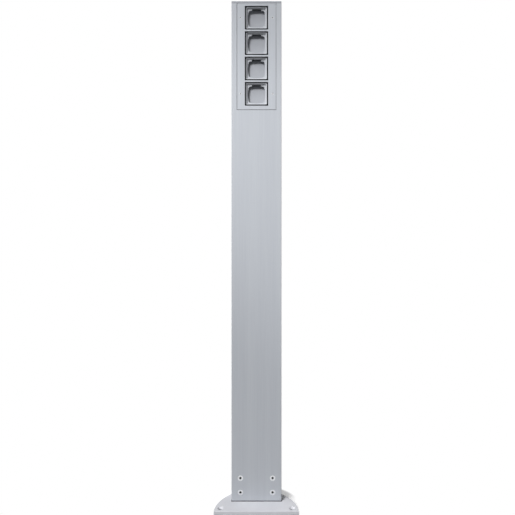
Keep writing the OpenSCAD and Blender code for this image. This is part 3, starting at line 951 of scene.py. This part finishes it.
@dataclass
class ServicePanel(SubAssembly):
    """The panel that lifts off, with its screws, seals and bezels."""

    window_w: float = 65.2
    window_h: float = 66.3
    window_r: float = 1
    panel_edge: float = 0.45
    bezel_w: float = 58.2
    bezel_h: float = 59.3
    bezel_r: float = 3
    rim: float = 0.7
    floor_w: float = 49
    floor_h: float = 52
    slope: float = 4.5
    opening_r: float = 29.2
    opening_w: float = 48.4
    opening_up: float = 23.7
    opening_down: float = 25.5
    notch_w: float = 24
    notch_up: float = 25.8
    side_arc_r: float = 80
    flange_t: float = 2
    hole_r: float = 1.3
    hole_stop: float = 1
    hole_at: tuple[float, float] = (37.2, 20)
    moulding_edge: float = 0.12
    seal_lap: float = 0.3
    seal_r: float = 2
    seal_edge: float = 0.15
    groove: float = 0.6
    groove_from: float = 1.1
    groove_to: float = 2.2
    head_gap: float = 0.3
    shank_gap: float = 0.1
    screw: SunkScrew = PANEL_SCREW

    def build(self) -> None:
        """Models the panel, then what is fixed to it."""
        self.front_panel()
        self.panel_screws()
        self.fit_row(self.bezel_shape(), "bezel_plastic", "bezel")
        self.fit_row(self.seal_shape(), "rubber", "window_seal")

    def holes(self, k: int) -> list[tuple[float, float]]:
        """Gives the places of a bezel's two screws."""
        middle = unit_middle(k)
        return [(s * self.hole_at[0], middle.z - s * self.hole_at[1]) for s in (-1, 1)]

    def front_panel(self) -> None:
        """Cuts four windows and the screw holes in a plate, and breaks its edges."""
        box = Box.of("front_panel")
        panel = add_block("front_panel_part", box.low, box.high)
        front, back = box.low.y - PAST_MM, box.high.y + PAST_MM
        half = Vector((self.window_w / 2, 0, self.window_h / 2))
        for k in UNITS:
            middle = unit_middle(k)
            low, high = middle - half, middle + half
            low.y, high.y = front, back
            combine(panel, add_tile("window", low, high, self.window_r), Cut.REMOVE)
            for x, z in self.holes(k):
                stop = (x, box.low.y + self.hole_stop, z)
                hole = add_rod("hole", stop, (x, back, z), self.hole_r, sides=HOLE_SIDES)
                combine(panel, hole, Cut.REMOVE)
        wide = self.screw.head_r + self.head_gap
        narrow = self.screw.shank_r + self.shank_gap
        for x, z in self.screw_places():
            hole = add_rod("hole", (x, front, z), (x, back, z), narrow, sides=SINK_SIDES)
            combine(panel, hole, Cut.REMOVE)
            end_y = box.low.y + wide - narrow
            sink = add_rod(
                "sink", (x, front, z), (x, end_y, z), wide + PAST_MM, narrow, sides=SINK_SIDES
            )
            combine(panel, sink, Cut.REMOVE)
        self.fit(break_edges(panel, self.panel_edge), "column_aluminium", "front_panel")

    def screw_places(self) -> list[tuple[float, float]]:
        """Gives the places of the four panel screws, from their packed box."""
        box = Box.of("panel_screws")
        r = self.screw.head_r
        return [(x, z) for x in (box.low.x + r, box.high.x - r) for z in (box.low.z + r, box.high.z - r)]

    def panel_screws(self) -> None:
        """Puts a screw at each of the panel's four corners."""
        y = Box.of("panel_screws").low.y
        places = [(x, y, z) for x, z in self.screw_places()]
        self.fit_screws("panel_screws", self.screw, places, (0, 1, 0))

    def bezel_shape(self) -> Piece:
        """Models a bezel: a tile on a flange, with a funnel and an opening cut in it.

        Returns:
            The top unit's bezel.
        """
        box, middle = Box.of("bezel_1"), unit_middle(1)
        front, back = box.low.y, box.high.y

        def tile(name: str, w: float, h: float, y0: float, y1: float, r: float) -> Piece:
            low = (-w / 2, y0, middle.z - h / 2)
            return add_tile(name, low, (w / 2, y1, middle.z + h / 2), r)

        bezel = tile("bezel_part_1", box.size.x, box.size.z, back - self.flange_t, back, self.bezel_r)
        combine(bezel, tile("tile", self.bezel_w, self.bezel_h, front, back, self.bezel_r), Cut.JOIN)
        floor_y = front + self.slope
        rim_w, rim_h = self.bezel_w - 2 * self.rim, self.bezel_h - 2 * self.rim
        combine(bezel, self.funnel(rim_w, rim_h, front, floor_y, middle.z), Cut.REMOVE)
        combine(bezel, self.opening(middle.z, floor_y - PAST_MM, back + PAST_MM), Cut.REMOVE)
        for x, z in self.holes(1):
            hole = add_rod("hole", (x, front, z), (x, back + PAST_MM, z), self.hole_r, sides=HOLE_SIDES)
            combine(bezel, hole, Cut.REMOVE)
        return break_edges(bezel, self.moulding_edge)

    def funnel(self, rim_w: float, rim_h: float, front: float, floor_y: float, z: float) -> Piece:
        """Models the hollow of the funnel, which narrows from the rim to the floor.

        Args:
            rim_w: Width inside the rim.
            rim_h: Height inside the rim.
            front: Depth of the rim.
            floor_y: Depth of the floor.
            z: Height of the unit's middle.

        Returns:
            The shape to cut away.
        """
        low = (-rim_w / 2, front, z - rim_h / 2)
        hollow = add_tile("funnel", low, (rim_w / 2, floor_y, z + rim_h / 2), self.bezel_r - self.rim)
        at_floor, at_rim = floor_y * MM - NEAR, front * MM + NEAR
        edit_selected(hollow, "FACE", lambda f: all(v.co.y > at_floor for v in f.verts))
        bpy.ops.transform.resize(value=(self.floor_w / rim_w, 1, self.floor_h / rim_h))
        close_edit()
        edit_selected(hollow, "FACE", lambda f: all(v.co.y < at_rim for v in f.verts))
        bpy.ops.mesh.extrude_region_move(TRANSFORM_OT_translate={"value": metres((0, -PAST_MM, 0))})
        close_edit()
        return hollow

    def opening(self, z: float, front: float, back: float) -> Piece:
        """Models the opening: a circle flattened by four wide arcs, with a notch for the wires.

        Args:
            z: Height of the unit's middle.
            front: Depth where the shape starts.
            back: Depth where it ends.

        Returns:
            The shape to cut away.
        """
        shape = add_rod("opening", (0, front, z), (0, back, z), self.opening_r, sides=DISC_SIDES)
        start, end = front - PAST_MM, back + PAST_MM
        r, side = self.side_arc_r, self.side_arc_r - self.opening_w / 2
        middles = [(side, z), (-side, z), (0, z + self.opening_up - r), (0, z - self.opening_down + r)]
        for x, arc_z in middles:
            arc = add_rod("arc", (x, start, arc_z), (x, end, arc_z), r, sides=ARC_SIDES)
            combine(shape, arc, Cut.KEEP_SHARED)
        low = (-self.notch_w / 2, start, z + self.notch_w / 2)
        notch = add_block("notch", low, (self.notch_w / 2, end, z + self.notch_up))
        return combine(shape, notch, Cut.JOIN)

    def seal_shape(self) -> Piece:
        """Models a seal, a flat frame with a groove in its face.

        Returns:
            The top unit's seal.
        """
        box, middle = Box.of("window_seal_1"), unit_middle(1)
        seal = add_tile("window_seal_part_1", box.low, box.high, self.seal_r)
        inner_w, inner_h = self.bezel_w / 2 + self.seal_lap, self.bezel_h / 2 + self.seal_lap

        def ring(more: float, y0: float, y1: float) -> Piece:
            low = (-inner_w - more, y0, middle.z - inner_h - more)
            return add_tile("ring", low, (inner_w + more, y1, middle.z + inner_h + more), self.bezel_r + more)

        front = box.low.y - PAST_MM
        combine(seal, ring(0, front, box.high.y + PAST_MM), Cut.REMOVE)
        groove = ring(self.groove_to, front, box.low.y + self.groove)
        combine(groove, ring(self.groove_from, front - PAST_MM, box.high.y), Cut.REMOVE)
        combine(seal, groove, Cut.REMOVE)
        return break_edges(seal, self.seal_edge)


@dataclass
class Units(SubAssembly):
    """The mounting frame, the device boxes and their blanking discs."""

    step_r: float = 27.8
    step_depth: float = 0.4
    disc_edge: float = 0.12
    edge: float = 0.25

    def build(self) -> None:
        """Models the discs and refines the boxes and the frame."""
        self.fit_row(self.disc_shape(), "disc_plastic", "blanking_disc")
        self.refine("mounting_frame", "zinc_steel", self.edge)
        for k in UNITS:
            self.refine(f"device_box_{k}", "box_plastic", self.edge)
            self.refine(f"box_grommet_{k}", "rubber", self.edge)

    def disc_shape(self) -> Piece:
        """Models a blanking disc with a step near its rim.

        Returns:
            The top unit's disc.
        """
        box = Box.of("blanking_disc_1")
        middle, r = box.middle, box.size.x / 2
        rim_front = (0, box.low.y + self.step_depth, middle.z)
        rim_back = (0, box.high.y, middle.z)
        disc = add_rod("blanking_disc_part_1", rim_front, rim_back, r, sides=DISC_SIDES)
        edit_selected(disc, "FACE", lambda face: face.normal.y < -STRAIGHT)
        bpy.ops.mesh.inset(thickness=(r - self.step_r) * MM)
        bpy.ops.mesh.extrude_region_move(TRANSFORM_OT_translate={"value": metres((0, -self.step_depth, 0))})
        close_edit()
        return break_edges(disc, self.disc_edge)


@dataclass
class Wiring(SubAssembly):
    """The terminals on their rail and the earth bolt."""

    edge: float = 0.25
    rail_edge: float = 0.12
    bolt_edge: float = 0.15

    def build(self) -> None:
        """Refines the rail, the terminals and the earthing parts."""
        self.refine("terminal_rail", "zinc_steel", self.rail_edge)
        self.refine("line_terminals", "terminal_plastic", self.edge)
        self.refine("earth_terminal", "earth_plastic", self.edge)
        self.refine("end_stops", "terminal_plastic", self.edge)
        for node in ("earth_bolt", "earth_nuts", "earth_washers"):
            self.refine(node, "brass_plated", self.bolt_edge)


# Studio


@dataclass
class Studio:
    """The camera, the floor, the background and the lamps."""

    camera_distance: float = 1250
    camera_x: float = 2.8
    camera_z: float = 692.4
    px_per_mm: float = 0.3574
    horizon_level: float = 0.04
    zenith_level: float = 0.08
    key_from: tuple[float, float, float] = (-0.65, -1.0, 0.85)
    key_level: float = 2.25
    key_width: float = 26
    sun_distance: float = 1000
    top_from: tuple[float, float, float] = (-0.5, -0.45, 1.3)
    top_level: float = 1.25
    top_width: float = 24
    back_from: tuple[float, float, float] = (0.4, 1.0, 0.06)
    back_level: float = 1.3
    back_width: float = 20
    spot_at: tuple[float, float, float] = (-1250, -1700, 2400)
    spot_aim: tuple[float, float, float] = (160, 0, 852)
    spot_power: float = 113
    spot_cone: float = 20
    spot_soft: float = 1.0
    spot_radius: float = 80
    floor_half: float = 6000
    floor_own: float = 0.75
    floor_bounce: float = 0.2
    floor_glow: float = 0.38
    shade_near: float = 112
    shade_far: float = 122
    shade_depth: float = 1.2

    def build(self) -> None:
        """Sets up the whole studio."""
        self.camera()
        self.world()
        self.floor()
        self.lamps()

    def camera(self) -> None:
        """Looks along +Y, level, from so near that the base plate's upper face shows."""
        data = bpy.data.cameras.new("camera")
        data.sensor_width = SENSOR_MM
        data.lens = self.px_per_mm * self.camera_distance * SENSOR_MM / PHOTO_PX
        camera = bpy.data.objects.new("camera", data)
        front = Box.of("column_profile").low.y
        camera.location = metres((self.camera_x, front - self.camera_distance, self.camera_z))
        camera.rotation_euler = (math.pi / 2, 0, 0)
        bpy.context.scene.collection.objects.link(camera)
        bpy.context.scene.camera = camera
        log.info("camera: lens %.2f mm", data.lens)

    def seen(self, tree: Tree) -> Socket:
        """Says whether the camera, a reflection or glass looks at this point.

        Args:
            tree: The nodes to add to.

        Returns:
            1 for such a ray, and 0 for light that falls on the object.
        """
        path = add_node(tree, "ShaderNodeLightPath").outputs
        direct = add_math(tree, "MAXIMUM", path["Is Camera Ray"], path["Is Glossy Ray"])
        return add_math(tree, "MAXIMUM", direct, path["Is Transmission Ray"])

    def world(self) -> None:
        """Lights the object softly, most from straight above, before a white background."""
        world = bpy.data.worlds.new("studio")
        world.use_nodes = True
        bpy.context.scene.world = world
        tree = world.node_tree
        tree.nodes.clear()
        way = add_node(tree, "ShaderNodeTexCoord").outputs["Generated"]
        up = add_node(tree, "ShaderNodeSeparateXYZ", {0: way}).outputs["Z"]
        soft = add_range(tree, up, self.horizon_level, self.zenith_level)
        level = add_range(tree, self.seen(tree), soft, 1.0)
        white = (1.0, 1.0, 1.0, 1.0)
        sky = add_node(tree, "ShaderNodeBackground", {"Color": white, "Strength": level}).outputs[0]
        add_node(tree, "ShaderNodeOutputWorld", {"Surface": sky})

    def floor(self) -> None:
        """Lays a white floor that keeps the object's shadow: near the foot it is partly painted, so that
        it takes the shadow, and farther off it only glows."""
        half = self.floor_half
        bpy.ops.object.select_all(action="DESELECT")
        bpy.ops.mesh.primitive_plane_add(size=2 * half * MM, location=metres((0, half / 2, 0)))
        floor = bpy.context.active_object
        floor.name = "floor"
        set_place(floor)
        material = bpy.data.materials.new("studio_floor")
        material.use_nodes = True
        tree = material.node_tree
        tree.nodes.clear()
        seen = self.seen(tree)
        place = add_node(tree, "ShaderNodeTexCoord").outputs["Object"]
        flat = add_node(
            tree, "ShaderNodeMapping", {"Vector": place, "Scale": (1.0, self.shade_depth, 1.0)}
        ).outputs[0]
        distance = add_node(tree, "ShaderNodeVectorMath", {0: flat}, operation="LENGTH").outputs["Value"]
        near, far = self.shade_near * MM, self.shade_far * MM
        away = add_range(tree, distance, 0.0, 1.0, near, far, interpolation_type="SMOOTHSTEP")
        glow = add_range(tree, away, self.floor_glow, 1.0)
        glow = add_range(tree, seen, self.floor_bounce, glow)
        bare = self.bare(tree, place)
        glow = add_math(tree, "MULTIPLY", glow, bare)
        own = add_range(tree, away, self.floor_own, 0.0)
        own = add_math(tree, "MULTIPLY", own, seen)
        own = add_math(tree, "MULTIPLY", own, bare)
        colour = add_node(tree, "ShaderNodeCombineColor", {0: own, 1: own, 2: own}).outputs[0]
        matt = add_node(tree, "ShaderNodeBsdfDiffuse", {"Color": colour}).outputs[0]
        light = add_node(tree, "ShaderNodeEmission", {"Strength": glow}).outputs[0]
        both = add_node(tree, "ShaderNodeAddShader", {0: matt, 1: light}).outputs[0]
        add_node(tree, "ShaderNodeOutputMaterial", {"Surface": both})
        floor.data.materials.append(material)

    def bare(self, tree: Tree, place: Socket) -> Socket:
        """Says whether a point of the floor is free of the base plate, so that its holes stay dark.

        Args:
            tree: The nodes to add to.
            place: Object coordinates of the floor.

        Returns:
            0 under the plate, and 1 elsewhere.
        """
        box = Box.of("base_plate")
        from_middle = add_node(
            tree, "ShaderNodeVectorMath", {0: place, 1: metres((0, box.low.y, 0))}, operation="SUBTRACT"
        ).outputs[0]
        radius = add_node(tree, "ShaderNodeVectorMath", {0: from_middle}, operation="LENGTH").outputs["Value"]
        outside = add_math(tree, "GREATER_THAN", radius, box.high.x * MM)
        depth = add_node(tree, "ShaderNodeSeparateXYZ", {0: from_middle}).outputs["Y"]
        in_front = add_math(tree, "LESS_THAN", depth, 0.0)
        return add_math(tree, "MAXIMUM", outside, in_front)

    def lamps(self) -> None:
        """Hangs the key from the upper left in front, a top light from the left, a low light behind
        for the back, and a near lamp beside the key for the fall of light along the column."""
        for name, way, level, width in (
            ("key", self.key_from, self.key_level, self.key_width),
            ("top", self.top_from, self.top_level, self.top_width),
            ("back", self.back_from, self.back_level, self.back_width),
        ):
            sun = bpy.data.lights.new(name, "SUN")
            sun.energy = level
            sun.angle = math.radians(width)
            self.hang(sun, Vector(way) * self.sun_distance, (0, 0, 0))
        spot = bpy.data.lights.new("near", "SPOT")
        spot.energy = self.spot_power
        spot.spot_size = math.radians(self.spot_cone)
        spot.spot_blend = self.spot_soft
        spot.shadow_soft_size = self.spot_radius * MM
        self.hang(spot, self.spot_at, self.spot_aim)

    def hang(self, light: bpy.types.Light, at: Point, aim: Point) -> None:
        """Puts a lamp at a place and points it.

        Args:
            light: The lamp.
            at: Its place, in millimetres.
            aim: Where it points, in millimetres.
        """
        lamp = bpy.data.objects.new(light.name, light)
        lamp.location = metres(at)
        lamp.rotation_euler = (Vector(aim) - Vector(at)).to_track_quat("-Z", "Y").to_euler()
        bpy.context.scene.collection.objects.link(lamp)


def main() -> None:
    scene = bpy.context.scene
    scene.view_settings.view_transform = "Standard"
    Studio().build()
    shop = PaintShop()
    shop.repaint_nodes()
    parts = [
        Foot(shop, Body.POST),
        Column(shop, Body.POST),
        ServicePanel(shop, Body.PANEL),
        Units(shop, Body.POST),
        Wiring(shop, Body.POST),
    ]
    for part in parts:
        part.build()
        log.info("%s is built", type(part).__name__)


if __name__ == "__main__":
    main()
